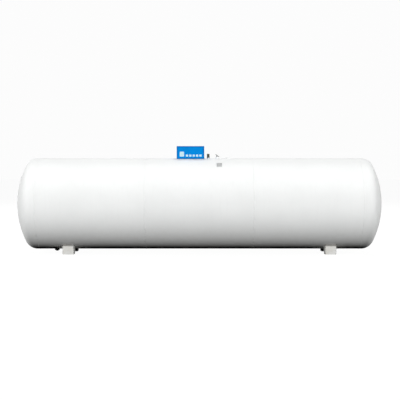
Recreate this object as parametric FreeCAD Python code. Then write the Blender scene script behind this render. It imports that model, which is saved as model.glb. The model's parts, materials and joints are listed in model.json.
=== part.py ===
"""Above-ground horizontal pressure tank for liquefied gas, in millimetres.

A rolled and welded steel vessel lies along X on four pressed legs. Its front faces -Y, +Z is up, and the
origin is on the ground under the middle of the vessel. A blue hood on a rear hinge covers the filler, the
service valve and the level gauge; a vapour valve, a relief valve, a spare opening and the data plate stand
beside it.
"""
import FreeCAD, Part

import math
import os

from FreeCAD import Vector

# ---- vessel ----
outer_diameter = 1041.0       # 41 inch rolled shell
shell_wall = 6.0
course_count = 3
course_length = 1219.0        # a 4 foot wide plate
head_flange = 35.0            # straight part of each head, past the girth seam
head_depth = 225.0            # dished part of each head, outside
head_knuckle = 130.0          # outside radius of the turn between the flange and the crown
head_wall = 6.4
belly_clearance = 46.0        # ground to the lowest line of the shell

# ---- legs ----
leg_inset = 340.0             # from the end of the rolled shell to the leg's middle
leg_spread = 512.0            # front face of the front leg to rear face of the rear leg
leg_width = 127.0
leg_depth = 130.0
leg_plate = 6.4
leg_bend = 12.0               # outside radius of the pressed corners
anchor_setback = 68.0         # from the leg's outer face to the anchor hole
anchor_hole_radius = 9.5

# ---- hood ----
hood_centre_x = -103.0
hood_length = 315.0
hood_width = 220.0
hood_height = 146.0           # at its front wall
hood_sheet = 2.0
hood_corner = 6.0
hood_gap = 6.0                # between the hood's lower edge and the shell
notch_width = 60.0            # slot for the gas pipe in the hood's left wall
notch_headroom = 24.0         # above the middle of the service valve's outlet
notch_corner = 15.0

# ---- curb inside the hood ----
curb_clearance = 6.0          # between the curb and the hood's walls
curb_bar = 4.0
curb_rise = 16.0              # above the top line of the shell

# ---- hood hinge ----
hinge_setback = 16.0          # from the hood's rear face to the pin
hinge_rise = 16.5             # from the shell to the pin, square to the shell
hinge_base = 3.0              # the bracket's floor between its two ears
hinge_eye_radius = 8.0
hinge_spacing = 190.0         # between the two hinges
hinge_side_play = 0.5
lug_thickness = 12.0
ear_thickness = 6.0
pin_radius = 4.0
pin_play = 0.05               # radial, in the turning lug
pin_overhang = 5.0

# ---- openings in the shell ----
service_outlet_gap = 5.5      # between the service valve's outlet and the curb's left bar
gauge_flange_gap = 20.0       # between the gauge's flange and the curb's right bar
vapour_x = 101.0
relief_x = 212.0
spare_x = 321.0
drain_inset = 184.0           # from the left end of the rolled shell

# ---- couplings: each has an outside radius, a bore radius and a height above the shell ----
coupling_inside = 12.0        # how far each coupling reaches into the vessel
thread_engagement = 16.0      # how far each valve screws into its coupling
filler_coupling_radius = 28.5
filler_bore_radius = 20.5
filler_coupling_rise = 12.0
service_coupling_radius = 17.5
service_bore_radius = 13.0
service_coupling_rise = 12.0
gauge_flange_radius = 38.0
gauge_bore_radius = 25.0
gauge_flange_rise = 14.0
vapour_coupling_radius = 17.5
vapour_bore_radius = 13.0
vapour_coupling_rise = 8.0
relief_coupling_radius = 27.5
relief_bore_radius = 20.0
relief_coupling_rise = 10.0
spare_coupling_radius = 28.5
spare_bore_radius = 20.5
spare_coupling_rise = 8.0
drain_coupling_radius = 26.5
drain_bore_radius = 18.0
drain_coupling_drop = 17.0

# ---- valves ----
thread_showing = 2.0          # between a coupling and the hexagon above it
filler_hex = 50.0
filler_hex_height = 14.0
filler_neck_radius = 20.0
filler_neck_height = 9.0
filler_thread_radius = 22.2
filler_thread_height = 18.0
filler_cap_wall = 6.0
filler_cap_height = 32.0
cap_dome = 4.0

service_hex = 30.0
service_hex_height = 12.0
service_body_radius = 15.0
service_body_height = 32.0
service_bonnet_hex = 24.0
service_bonnet_height = 9.0
service_spindle_radius = 5.0
service_spindle_height = 9.0
service_outlet_radius = 14.0
service_outlet_reach = 36.0   # from the valve's axis
service_outlet_bore = 9.0
service_outlet_depth = 20.0
bleed_screw_radius = 5.0
bleed_screw_reach = 25.0
wheel_radius = 28.0
wheel_height = 12.0
wheel_scallops = 6
wheel_scallop_radius = 9.0
wheel_scallop_reach = 32.5    # from the wheel's axis to the middle of each scallop

gauge_plate = 58.0
gauge_plate_height = 8.0
gauge_corner = 9.0
gauge_dome_radius = 24.0
gauge_dome_height = 8.0
dial_radius = 23.0
dial_height = 7.0
dial_recess = 1.5
dial_rim = 2.5

vapour_hex = 29.0
vapour_hex_height = 13.0
vapour_neck_radius = 10.5
vapour_neck_height = 6.0
vapour_cap_radius = 14.5
vapour_cap_height = 23.0

relief_hex = 46.0
relief_hex_height = 3.0
relief_mouth_radius = 7.5
relief_mouth_depth = 14.0
rain_cap_radius = 24.0
rain_cap_thickness = 10.0
rain_cap_spigot_radius = 7.0
rain_cap_spigot_length = 12.0

plug_hex = 24.0
plug_hex_height = 8.0
plug_flange = 4.0
plug_socket = 16.0
plug_socket_depth = 9.0

# ---- data plate on the front shoulder ----
plate_x = 224.0
plate_angle = 31.0            # degrees forward of the top line
plate_width = 58.0
plate_height = 73.0           # along the shell
plate_thickness = 1.2
bracket_rise = 5.0
bracket_margin = 3.0
bracket_strip_width = 36.0
bracket_strip_reach = 56.0    # above the plate, along the shell

# ---- modelling ----
same_place = 0.001            # two corners nearer than this are on one line or face

# ---- worked out ----
outer_radius = outer_diameter / 2
axis_height = belly_clearance + outer_radius
crown = axis_height + outer_radius
shell_length = course_count * course_length
shell_end = shell_length / 2
leg_station = shell_end - leg_inset
leg_face = leg_spread / 2
anchor_y = leg_face - anchor_setback

head_tangent = shell_end + head_flange
knuckle_ring = outer_radius - head_knuckle
head_crown = (knuckle_ring ** 2 + head_depth ** 2 - head_knuckle ** 2) / (2 * (head_depth - head_knuckle))

hood_left = hood_centre_x - hood_length / 2
hood_rear = hood_width / 2
hood_cut_radius = outer_radius + hood_gap
hood_bottom = axis_height + math.sqrt(hood_cut_radius ** 2 - hood_rear ** 2)
hood_top = hood_bottom + hood_height

curb_half_length = hood_length / 2 - hood_sheet - curb_clearance
curb_half_width = hood_width / 2 - hood_sheet - curb_clearance
curb_top = crown + curb_rise

pin_y = hood_rear + hinge_setback
pin_z = axis_height + math.sqrt((outer_radius + hinge_rise) ** 2 - pin_y ** 2)

service_x = hood_centre_x - curb_half_length + curb_bar + service_outlet_gap + service_outlet_reach
gauge_x = hood_centre_x + curb_half_length - curb_bar - gauge_flange_gap - gauge_flange_radius
filler_x = (service_x + gauge_x) / 2
drain_x = -shell_end + drain_inset

# Each coupling on the top line: its place along X, outside radius, bore radius and height above the shell.
top_couplings = {
    "service_coupling": (service_x, service_coupling_radius, service_bore_radius, service_coupling_rise),
    "filler_coupling": (filler_x, filler_coupling_radius, filler_bore_radius, filler_coupling_rise),
    "gauge_flange": (gauge_x, gauge_flange_radius, gauge_bore_radius, gauge_flange_rise),
    "vapour_coupling": (vapour_x, vapour_coupling_radius, vapour_bore_radius, vapour_coupling_rise),
    "relief_coupling": (relief_x, relief_coupling_radius, relief_bore_radius, relief_coupling_rise),
    "spare_coupling": (spare_x, spare_coupling_radius, spare_bore_radius, spare_coupling_rise),
}

parts = {}


# ---- helpers ----
def block(x0, x1, y0, y1, z0, z1):
    """A box between two corners."""
    return Part.makeBox(x1 - x0, y1 - y0, z1 - z0, Vector(x0, y0, z0))


def post(radius, x, y, z0, z1):
    """An upright round bar."""
    return Part.makeCylinder(radius, z1 - z0, Vector(x, y, z0))


def bar_along_x(radius, x0, x1, y, z):
    """A round bar along X."""
    return Part.makeCylinder(radius, x1 - x0, Vector(x0, y, z), Vector(1, 0, 0))


def hexagon(across_flats, x, y, z0, z1):
    """An upright hexagonal prism with two flats facing front and rear."""
    corner = across_flats / math.sqrt(3)
    points = [
        Vector(x + corner * math.cos(math.radians(60 * n)), y + corner * math.sin(math.radians(60 * n)), z0)
        for n in range(6)
    ]
    outline = Part.makePolygon(points + [points[0]])
    return Part.Face(outline).extrude(Vector(0, 0, z1 - z0))


def turned(profile, x):
    """A turned piece on the top line: (radius, height) points, revolved about an upright axis at x."""
    points = [Vector(x + radius, 0, height) for radius, height in profile]
    outline = Part.makePolygon(points + [points[0]])
    return Part.Face(outline).revolve(Vector(x, 0, 0), Vector(0, 0, 1), 360)


def fused(first, *others):
    """One solid from several that share faces or overlap."""
    return first.multiFuse(list(others)).removeSplitter()


def vessel_bar(radius):
    """A solid cylinder on the vessel's axis, longer than the vessel."""
    return bar_along_x(radius, -shell_length, shell_length, 0, axis_height)


def upright_edges(solid):
    """The edges of a solid that run along Z."""
    return [
        edge
        for edge in solid.Edges
        if len(edge.Vertexes) == 2
        and abs(edge.Vertexes[0].X - edge.Vertexes[1].X) < same_place
        and abs(edge.Vertexes[0].Y - edge.Vertexes[1].Y) < same_place
    ]


def top_edges_along_x(solid):
    """The edges of a block's top face that run along X."""
    top = solid.BoundBox.ZMax
    return [
        edge
        for edge in solid.Edges
        if all(abs(v.Z - top) < same_place for v in edge.Vertexes)
        and abs(edge.Vertexes[0].Y - edge.Vertexes[1].Y) < same_place
    ]


def shell_point(radius, angle, x=0.0):
    """A point at a radius from the vessel's axis, at an angle in degrees forward of the top line."""
    turn = math.radians(angle)
    return Vector(x, -radius * math.sin(turn), axis_height + radius * math.cos(turn))


def curved_plate(x0, x1, inner, outer, top_angle, low_angle):
    """A plate that follows the shell between two angles forward of the top line."""
    middle = (top_angle + low_angle) / 2
    outer_arc = Part.Arc(
        shell_point(outer, top_angle, x0), shell_point(outer, middle, x0), shell_point(outer, low_angle, x0)
    )
    inner_arc = Part.Arc(
        shell_point(inner, low_angle, x0), shell_point(inner, middle, x0), shell_point(inner, top_angle, x0)
    )
    sides = [
        Part.LineSegment(shell_point(outer, low_angle, x0), shell_point(inner, low_angle, x0)),
        Part.LineSegment(shell_point(inner, top_angle, x0), shell_point(outer, top_angle, x0)),
    ]
    outline = Part.Wire([outer_arc.toShape(), sides[0].toShape(), inner_arc.toShape(), sides[1].toShape()])
    return Part.Face(outline).extrude(Vector(x1 - x0, 0, 0))


# ---- vessel ----
def shell_course(number):
    """One rolled course, with the holes for the couplings that stand on it."""
    x0 = -shell_end + number * course_length
    x1 = x0 + course_length
    course = bar_along_x(outer_radius, x0, x1, 0, axis_height)
    course = course.cut(bar_along_x(outer_radius - shell_wall, x0, x1, 0, axis_height))
    for x, radius, _, _ in top_couplings.values():
        course = course.cut(post(radius, x, 0, axis_height, crown + shell_wall))
    return course.cut(post(drain_coupling_radius, drain_x, 0, 0, axis_height))


def head_point(side, beyond, radius):
    """A point of the head's profile: so far beyond the tangent line, so far above the vessel's axis."""
    return Vector(side * (head_tangent + beyond), 0, axis_height + radius)


def head_arc(side, centre_beyond, centre_radius, arc_radius, start, stop):
    """An arc of the head's profile. Its angles are measured from the vessel's axis, in radians."""
    points = []
    for turn in (start, (start + stop) / 2, stop):
        beyond = centre_beyond + arc_radius * math.cos(turn)
        radius = centre_radius + arc_radius * math.sin(turn)
        points.append(head_point(side, beyond, radius))
    return Part.Arc(*points).toShape()


def head_face(side, inset):
    """The two arcs of the dish, from the axis to the tangent line, at a distance inside the outer face."""
    junction = math.atan2(knuckle_ring, head_crown - head_depth)
    return [
        head_arc(side, head_depth - head_crown, 0, head_crown - inset, 0, junction),
        head_arc(side, 0, knuckle_ring, head_knuckle - inset, junction, math.pi / 2),
    ]


def head(side):
    """A dished head with its straight flange. side is -1 for the left end and +1 for the right."""
    inner_radius = outer_radius - head_wall
    corners = [
        head_point(side, 0, outer_radius),
        head_point(side, -head_flange, outer_radius),
        head_point(side, -head_flange, inner_radius),
        head_point(side, 0, inner_radius),
    ]
    flange = [Part.makeLine(corners[n], corners[n + 1]) for n in range(3)]
    inner_tip = head_point(side, head_depth - head_wall, 0)
    outer_tip = head_point(side, head_depth, 0)
    edges = head_face(side, 0) + flange + head_face(side, head_wall) + [Part.makeLine(inner_tip, outer_tip)]
    outline = Part.Wire(Part.__sortEdges__(edges))
    return Part.Face(outline).revolve(Vector(0, 0, axis_height), Vector(1, 0, 0), 360)


# ---- legs ----
def leg(side_x, side_y):
    """A pressed channel leg, open towards the middle, with a floor that the anchor bolt holds down."""
    x0 = side_x * leg_station - leg_width / 2
    x1 = x0 + leg_width
    inner = leg_face - leg_depth
    face = side_y * leg_face
    y_low, y_high = sorted((face, side_y * inner))
    outside = block(x0, x1, y_low, y_high, 0, axis_height)
    outer_edges = [e for e in upright_edges(outside) if abs(e.Vertexes[0].Y - face) < same_place]
    outside = outside.makeFillet(leg_bend, outer_edges)

    wall = side_y * (leg_face - leg_plate)
    open_side = side_y * (inner - leg_plate)
    cavity_low, cavity_high = sorted((wall, open_side))
    cavity = block(x0 + leg_plate, x1 - leg_plate, cavity_low, cavity_high, leg_plate, axis_height)
    cavity_edges = [e for e in upright_edges(cavity) if abs(e.Vertexes[0].Y - wall) < same_place]
    cavity = cavity.makeFillet(leg_bend - leg_plate, cavity_edges)

    anchor_hole = post(anchor_hole_radius, side_x * leg_station, side_y * anchor_y, 0, leg_plate)
    return outside.cut(cavity).cut(anchor_hole).cut(vessel_bar(outer_radius))


# ---- hood, curb and hinge ----
def rounded_box(half_length, half_width, top, corner):
    """A box over the hood's place, reaching down into the vessel, with rounded upright and top edges."""
    solid = block(
        hood_centre_x - half_length, hood_centre_x + half_length, -half_width, half_width, axis_height, top
    )
    top_edges = [e for e in solid.Edges if all(abs(v.Z - top) < same_place for v in e.Vertexes)]
    return solid.makeFillet(corner, upright_edges(solid) + top_edges)


def hood_cover():
    """The folded sheet hood, cut to the shell's curve, with a pipe notch in its left wall."""
    outside = rounded_box(hood_length / 2, hood_width / 2, hood_top, hood_corner)
    inside = rounded_box(
        hood_length / 2 - hood_sheet,
        hood_width / 2 - hood_sheet,
        hood_top - hood_sheet,
        hood_corner - hood_sheet,
    )
    notch_top = service_outlet_height() + notch_headroom
    reach = 2 * hood_sheet
    half = notch_width / 2
    notch = block(hood_left - reach, hood_left + reach, -half, half, axis_height, notch_top)
    notch = notch.makeFillet(notch_corner, top_edges_along_x(notch))
    return outside.cut(inside).cut(vessel_bar(hood_cut_radius)).cut(notch)


def curb_bars():
    """Four flat bars on edge, welded to the shell as a rectangle inside the hood."""
    x0 = hood_centre_x - curb_half_length
    x1 = hood_centre_x + curb_half_length
    y1 = curb_half_width
    inner = y1 - curb_bar
    vessel = vessel_bar(outer_radius)
    return {
        "curb_front": block(x0, x1, -y1, -inner, axis_height, curb_top).cut(vessel),
        "curb_rear": block(x0, x1, inner, y1, axis_height, curb_top).cut(vessel),
        "curb_left": block(x0, x0 + curb_bar, -inner, inner, axis_height, curb_top).cut(vessel),
        "curb_right": block(x1 - curb_bar, x1, -inner, inner, axis_height, curb_top).cut(vessel),
    }


def hinge_x(side):
    """The middle of the left (-1) or right (+1) hinge."""
    return hood_centre_x + side * hinge_spacing / 2


def hinge_bracket(side):
    """A fork on the shell: two ears, one each side of the hood's lug, on a common floor."""
    slot_half = lug_thickness / 2 + hinge_side_play
    half = slot_half + ear_thickness
    x0, x1 = hinge_x(side) - half, hinge_x(side) + half
    y0, y1 = pin_y - hinge_eye_radius, pin_y + hinge_eye_radius
    eye = bar_along_x(hinge_eye_radius, x0, x1, pin_y, pin_z)
    foot = block(x0, x1, y0, y1, axis_height, pin_z)
    eye_top = pin_z + hinge_eye_radius
    slot = block(hinge_x(side) - slot_half, hinge_x(side) + slot_half, y0, y1, axis_height, eye_top)
    slot = slot.cut(vessel_bar(outer_radius + hinge_base))
    fork = fused(eye, foot).cut(slot).cut(bar_along_x(pin_radius, x0, x1, pin_y, pin_z))
    return fork.cut(vessel_bar(outer_radius))


def hood_lug(side):
    """The turning lug on the hood's rear wall, with the eye that the pin passes through."""
    x0 = hinge_x(side) - lug_thickness / 2
    x1 = hinge_x(side) + lug_thickness / 2
    eye = bar_along_x(hinge_eye_radius, x0, x1, pin_y, pin_z)
    arm = block(x0, x1, hood_rear, pin_y, pin_z - hinge_eye_radius / 2, pin_z + hinge_eye_radius)
    return fused(eye, arm).cut(bar_along_x(pin_radius + pin_play, x0, x1, pin_y, pin_z))


def hinge_pin():
    """One rod through both hinges."""
    reach = hinge_spacing / 2 + lug_thickness / 2 + hinge_side_play + ear_thickness + pin_overhang
    return bar_along_x(pin_radius, hood_centre_x - reach, hood_centre_x + reach, pin_y, pin_z)


# ---- couplings and valves ----
def coupling(x, radius, bore, rise):
    """A forged half coupling through the shell's top line."""
    z0 = crown - shell_wall - coupling_inside
    return post(radius, x, 0, z0, crown + rise).cut(post(bore, x, 0, z0, crown + rise))


def stem(bore, rise, x):
    """The part of a valve that is screwed into its coupling, and the thread that shows above it."""
    top = crown + rise
    return post(bore, x, 0, top - thread_engagement, top + thread_showing)


def filler_heights():
    """Heights of the filler valve's hexagon bottom, hexagon top and neck top."""
    hex_bottom = crown + filler_coupling_rise + thread_showing
    hex_top = hex_bottom + filler_hex_height
    return hex_bottom, hex_top, hex_top + filler_neck_height


def filler_valve():
    """The filling valve: a hexagon, a neck and a thread for the hose."""
    hex_bottom, hex_top, neck_top = filler_heights()
    return fused(
        hexagon(filler_hex, filler_x, 0, hex_bottom, hex_top),
        stem(filler_bore_radius, filler_coupling_rise, filler_x),
        post(filler_neck_radius, filler_x, 0, hex_top, neck_top),
        post(filler_thread_radius, filler_x, 0, neck_top, neck_top + filler_thread_height),
    )


def filler_cap():
    """A screwed cap over the filler's thread, seated on the thread's end."""
    _, _, neck_top = filler_heights()
    thread_top = neck_top + filler_thread_height
    radius = filler_thread_radius + filler_cap_wall
    cap_top = neck_top + filler_cap_height
    return turned(
        [
            (0, thread_top),
            (filler_thread_radius, thread_top),
            (filler_thread_radius, neck_top),
            (radius, neck_top),
            (radius, cap_top - cap_dome),
            (radius - cap_dome, cap_top),
            (0, cap_top),
        ],
        filler_x,
    )


def service_heights():
    """Heights of the service valve's hexagon, body, bonnet and spindle tops."""
    hex_top = crown + service_coupling_rise + thread_showing + service_hex_height
    body_top = hex_top + service_body_height
    bonnet_top = body_top + service_bonnet_height
    return hex_top, body_top, bonnet_top, bonnet_top + service_spindle_height


def service_outlet_height():
    """Height of the middle of the service valve's outlet."""
    hex_top, body_top, _, _ = service_heights()
    return (hex_top + body_top) / 2


def service_valve():
    """An angle valve: its outlet points left to the hood's pipe slot, and its bleed screw to the front."""
    hex_top, body_top, bonnet_top, spindle_top = service_heights()
    outlet_z = service_outlet_height()
    outlet_end = service_x - service_outlet_reach
    outlet = bar_along_x(service_outlet_radius, outlet_end, service_x, 0, outlet_z)
    bore_end = outlet_end + service_outlet_depth
    outlet_bore = bar_along_x(service_outlet_bore, outlet_end, bore_end, 0, outlet_z)
    bleed_screw = Part.makeCylinder(
        bleed_screw_radius, bleed_screw_reach, Vector(service_x, 0, outlet_z), Vector(0, -1, 0)
    )
    return fused(
        hexagon(service_hex, service_x, 0, hex_top - service_hex_height, hex_top),
        stem(service_bore_radius, service_coupling_rise, service_x),
        post(service_body_radius, service_x, 0, hex_top, body_top),
        hexagon(service_bonnet_hex, service_x, 0, body_top, bonnet_top),
        post(service_spindle_radius, service_x, 0, bonnet_top, spindle_top),
        outlet,
        bleed_screw,
    ).cut(outlet_bore)


def service_handwheel():
    """A scalloped wheel pressed on the spindle."""
    _, _, bonnet_top, spindle_top = service_heights()
    z0 = spindle_top - service_spindle_height / 2
    z1 = z0 + wheel_height
    wheel = post(wheel_radius, service_x, 0, z0, z1)
    for n in range(wheel_scallops):
        turn = math.radians(360 * n / wheel_scallops)
        x = service_x + wheel_scallop_reach * math.cos(turn)
        y = wheel_scallop_reach * math.sin(turn)
        wheel = wheel.cut(post(wheel_scallop_radius, x, y, z0, z1))
    return wheel.cut(post(service_spindle_radius, service_x, 0, bonnet_top, spindle_top))


def gauge_head():
    """The float gauge's cast head: a square flange with a plug below and a dome above."""
    z = crown + gauge_flange_rise
    half = gauge_plate / 2
    plate = block(gauge_x - half, gauge_x + half, -half, half, z, z + gauge_plate_height)
    plate = plate.makeFillet(gauge_corner, upright_edges(plate))
    dome_base = z + gauge_plate_height
    return fused(
        plate,
        post(gauge_bore_radius, gauge_x, 0, z - thread_engagement, z),
        post(gauge_dome_radius, gauge_x, 0, dome_base, dome_base + gauge_dome_height),
    )


def gauge_dial():
    """The dial capsule that snaps on the gauge head, with a raised rim."""
    z0 = crown + gauge_flange_rise + gauge_plate_height + gauge_dome_height
    z1 = z0 + dial_height
    face = z1 - dial_recess
    inner = dial_radius - dial_rim
    profile = [(0, z0), (dial_radius, z0), (dial_radius, z1), (inner, z1), (inner, face), (0, face)]
    return turned(profile, gauge_x)


def vapour_heights():
    """Heights of the vapour valve's hexagon bottom, hexagon top and neck top."""
    hex_bottom = crown + vapour_coupling_rise + thread_showing
    hex_top = hex_bottom + vapour_hex_height
    return hex_bottom, hex_top, hex_top + vapour_neck_height


def vapour_valve():
    """The vapour return valve: a hexagon and a neck for its cap."""
    hex_bottom, hex_top, neck_top = vapour_heights()
    return fused(
        hexagon(vapour_hex, vapour_x, 0, hex_bottom, hex_top),
        stem(vapour_bore_radius, vapour_coupling_rise, vapour_x),
        post(vapour_neck_radius, vapour_x, 0, hex_top, neck_top),
    )


def vapour_cap():
    """A round brass cap with a bevelled top."""
    _, _, neck_top = vapour_heights()
    cap_top = neck_top + vapour_cap_height
    return turned(
        [
            (0, neck_top),
            (vapour_cap_radius, neck_top),
            (vapour_cap_radius, cap_top - cap_dome),
            (vapour_cap_radius - cap_dome, cap_top),
            (0, cap_top),
        ],
        vapour_x,
    )


def relief_top():
    """Height of the relief valve's flat top."""
    return crown + relief_coupling_rise + relief_hex_height


def relief_valve():
    """A relief valve sunk in its coupling. Only its thin hexagon shows, with the mouth in the middle."""
    top = relief_top()
    coupling_top = crown + relief_coupling_rise
    return fused(
        hexagon(relief_hex, relief_x, 0, coupling_top, top),
        post(relief_bore_radius, relief_x, 0, coupling_top - thread_engagement, coupling_top),
    ).cut(post(relief_mouth_radius, relief_x, 0, top - relief_mouth_depth, top))


def relief_cap():
    """The rain cap, out of the mouth and leaning across it on its rim and the end of its spigot."""
    top = relief_top()
    edge_to_spigot = rain_cap_radius - rain_cap_spigot_radius
    lean = math.atan2(rain_cap_spigot_length, edge_to_spigot)
    span = math.hypot(rain_cap_spigot_length, edge_to_spigot)
    edge_x = relief_x + span / 2
    centre_x = edge_x - rain_cap_radius
    cap = fused(
        post(rain_cap_radius, centre_x, 0, top, top + rain_cap_thickness),
        post(rain_cap_spigot_radius, centre_x, 0, top - rain_cap_spigot_length, top),
    )
    cap.rotate(Vector(edge_x, 0, top), Vector(0, 1, 0), math.degrees(lean))
    return cap


def spare_plug():
    """A screwed plug with a low flange and a hexagonal socket."""
    coupling_top = crown + spare_coupling_rise
    flange_top = coupling_top + plug_flange
    flange_radius = (spare_bore_radius + spare_coupling_radius) / 2
    return fused(
        post(spare_bore_radius, spare_x, 0, coupling_top - thread_engagement, coupling_top),
        post(flange_radius, spare_x, 0, coupling_top, flange_top),
    ).cut(hexagon(plug_socket, spare_x, 0, flange_top - plug_socket_depth, flange_top))


def drain_coupling():
    """The liquid opening at the lowest line of the shell."""
    z0 = belly_clearance - drain_coupling_drop
    z1 = belly_clearance + shell_wall + coupling_inside
    return post(drain_coupling_radius, drain_x, 0, z0, z1).cut(post(drain_bore_radius, drain_x, 0, z0, z1))


def drain_plug():
    """The plug that is screwed up into the drain coupling, hexagon downwards."""
    z0 = belly_clearance - drain_coupling_drop
    return fused(
        post(drain_bore_radius, drain_x, 0, z0, z0 + thread_engagement),
        hexagon(plug_hex, drain_x, 0, z0 - plug_hex_height, z0),
    )


# ---- data plate ----
def arc_degrees(length):
    """The angle that a length along the shell covers."""
    return math.degrees(length / outer_radius)


def plate_bracket():
    """A strip welded to the shell above the plate, with a wider seat under the plate."""
    half_plate = arc_degrees(plate_height / 2)
    margin = arc_degrees(bracket_margin)
    top = plate_angle - half_plate - arc_degrees(bracket_strip_reach)
    seat_top = plate_angle - half_plate - margin
    low = plate_angle + half_plate + margin
    seat_half = plate_width / 2 + bracket_margin
    strip_half = bracket_strip_width / 2
    lifted = outer_radius + bracket_rise
    strip = curved_plate(plate_x - strip_half, plate_x + strip_half, outer_radius, lifted, top, low)
    seat = curved_plate(plate_x - seat_half, plate_x + seat_half, outer_radius, lifted, seat_top, low)
    return fused(strip, seat)


def data_plate():
    """The curved stainless plate on its seat."""
    half_plate = arc_degrees(plate_height / 2)
    lifted = outer_radius + bracket_rise
    return curved_plate(
        plate_x - plate_width / 2,
        plate_x + plate_width / 2,
        lifted,
        lifted + plate_thickness,
        plate_angle - half_plate,
        plate_angle + half_plate,
    )


# ---- assembly ----
for number, place in enumerate(["left", "middle", "right"]):
    parts[f"shell_{place}"] = shell_course(number)
for side_x, end_name in ((-1, "left"), (1, "right")):
    parts[f"head_{end_name}"] = head(side_x)
    parts[f"leg_front_{end_name}"] = leg(side_x, -1)
    parts[f"leg_rear_{end_name}"] = leg(side_x, 1)
    parts[f"hinge_bracket_{end_name}"] = hinge_bracket(side_x)
    parts[f"hood_lug_{end_name}"] = hood_lug(side_x)
parts["hood_cover"] = hood_cover()
parts["hinge_pin"] = hinge_pin()
parts.update(curb_bars())

for name, sizes in top_couplings.items():
    parts[name] = coupling(*sizes)
parts["filler_valve"] = filler_valve()
parts["filler_cap"] = filler_cap()
parts["service_valve"] = service_valve()
parts["service_handwheel"] = service_handwheel()
parts["gauge_head"] = gauge_head()
parts["gauge_dial"] = gauge_dial()
parts["vapour_valve"] = vapour_valve()
parts["vapour_cap"] = vapour_cap()
parts["relief_valve"] = relief_valve()
parts["relief_cap"] = relief_cap()
parts["spare_plug"] = spare_plug()
parts["drain_coupling"] = drain_coupling()
parts["drain_plug"] = drain_plug()
parts["plate_bracket"] = plate_bracket()
parts["data_plate"] = data_plate()

os.makedirs("parts", exist_ok=True)
for name, shape in parts.items():
    shape.exportStep(f"parts/{name}.step")
    box = shape.BoundBox
    print(
        f"{name:20s} solids {len(shape.Solids)} valid {shape.isValid()} "
        f"volume {shape.Volume / 1000:10.1f} cm3 z {box.ZMin:8.1f} to {box.ZMax:8.1f}"
    )
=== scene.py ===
# %% [markdown]
# # A horizontal gas tank, finished in Blender
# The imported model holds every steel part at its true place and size. This lesson loads it, gives each
# surface its finish, and adds the small things that a workshop adds last: weld beads, rivets, bolts and
# gauge markings.

# %% Load the frame and measure it
import json
import math

import bmesh
import bpy
from mathutils import Matrix, Vector


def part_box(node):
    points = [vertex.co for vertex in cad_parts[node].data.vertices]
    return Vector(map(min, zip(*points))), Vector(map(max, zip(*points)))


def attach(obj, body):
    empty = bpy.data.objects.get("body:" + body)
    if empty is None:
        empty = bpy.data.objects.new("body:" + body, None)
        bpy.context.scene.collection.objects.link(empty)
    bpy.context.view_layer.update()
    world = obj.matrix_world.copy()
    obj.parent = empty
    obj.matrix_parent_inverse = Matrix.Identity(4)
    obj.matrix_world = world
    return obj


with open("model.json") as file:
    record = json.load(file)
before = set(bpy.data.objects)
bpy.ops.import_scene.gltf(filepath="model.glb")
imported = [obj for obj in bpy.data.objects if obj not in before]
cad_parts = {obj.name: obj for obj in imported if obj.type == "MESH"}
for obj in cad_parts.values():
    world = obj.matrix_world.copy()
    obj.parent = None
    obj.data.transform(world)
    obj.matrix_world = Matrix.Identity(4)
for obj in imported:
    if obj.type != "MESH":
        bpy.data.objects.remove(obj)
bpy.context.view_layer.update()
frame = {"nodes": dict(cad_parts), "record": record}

# %% [markdown]
# ## Sizes that everything else is worked out from
# A piece fits only if it is placed from the same numbers as the part it sits on. The shell's box gives
# the vessel's axis and radius, so nothing here has to be guessed or fitted by eye.

# %% Sizes read from the frame
shell_low, shell_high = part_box("shell_middle")
outer_radius = (shell_high.z - shell_low.z) / 2
axis_height = (shell_high.z + shell_low.z) / 2
print(f"shell radius {outer_radius:.4f} m, axis {axis_height:.4f} m above the ground")

# %% [markdown]
# ## The camera
# The tank is seen square from the front, from about twelve metres, with the eye a little above its top
# line. A long lens at that distance keeps the two ends almost flat, which is how the tank looks from
# across a yard.

# %% Place the camera
camera_distance = 12.3
camera_above_axis = 0.62
aim_above_axis = 0.04
aim_right = 0.006

lens = bpy.data.cameras.new("yard_camera")
lens.lens = 96
lens.sensor_width = 36
camera = bpy.data.objects.new("yard_camera", lens)
camera.location = (aim_right, -camera_distance, axis_height + camera_above_axis)
aim = Vector((aim_right, 0, axis_height + aim_above_axis))
camera.rotation_euler = (aim - camera.location).to_track_quat("-Z", "Y").to_euler()
bpy.context.collection.objects.link(camera)
bpy.context.scene.camera = camera
print("camera height", round(camera.location.z, 2))

# %% [markdown]
# ## How the finishes are made
# Every finish is a small tree of nodes on Object coordinates, so a pattern runs on from plate to plate
# without a break and keeps its true scale. Colour varies a little, roughness varies with it, and a fine
# bump gives the paint, casting or brass its own grain.


# %% Helpers for node trees
usual_noise = (0.3, 0.7)  # noise seldom leaves this range


def new_finish(name, roughness, metallic=0.0):
    """A named material with its shader, ready for a pattern."""
    print("mixing", name)
    made = bpy.data.materials.new(name)
    made.use_nodes = True
    shader = made.node_tree.nodes["Principled BSDF"]
    shader.inputs["Metallic"].default_value = metallic
    shader.inputs["Roughness"].default_value = roughness
    return made, made.node_tree, shader


def place(tree, stretch=(1, 1, 1)):
    """Object coordinates, stretched per axis: a small number draws the pattern out along that axis."""
    coordinates = tree.nodes.new("ShaderNodeTexCoord")
    mapping = tree.nodes.new("ShaderNodeMapping")
    mapping.inputs["Scale"].default_value = stretch
    tree.links.new(coordinates.outputs["Object"], mapping.inputs["Vector"])
    return mapping.outputs["Vector"]


def noise(tree, scale, detail=4.0, stretch=(1, 1, 1)):
    """Cloudy noise, with scale in lumps a metre."""
    node = tree.nodes.new("ShaderNodeTexNoise")
    node.inputs["Scale"].default_value = scale
    node.inputs["Detail"].default_value = detail
    tree.links.new(place(tree, stretch), node.inputs["Vector"])
    return node.outputs["Fac"]


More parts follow.
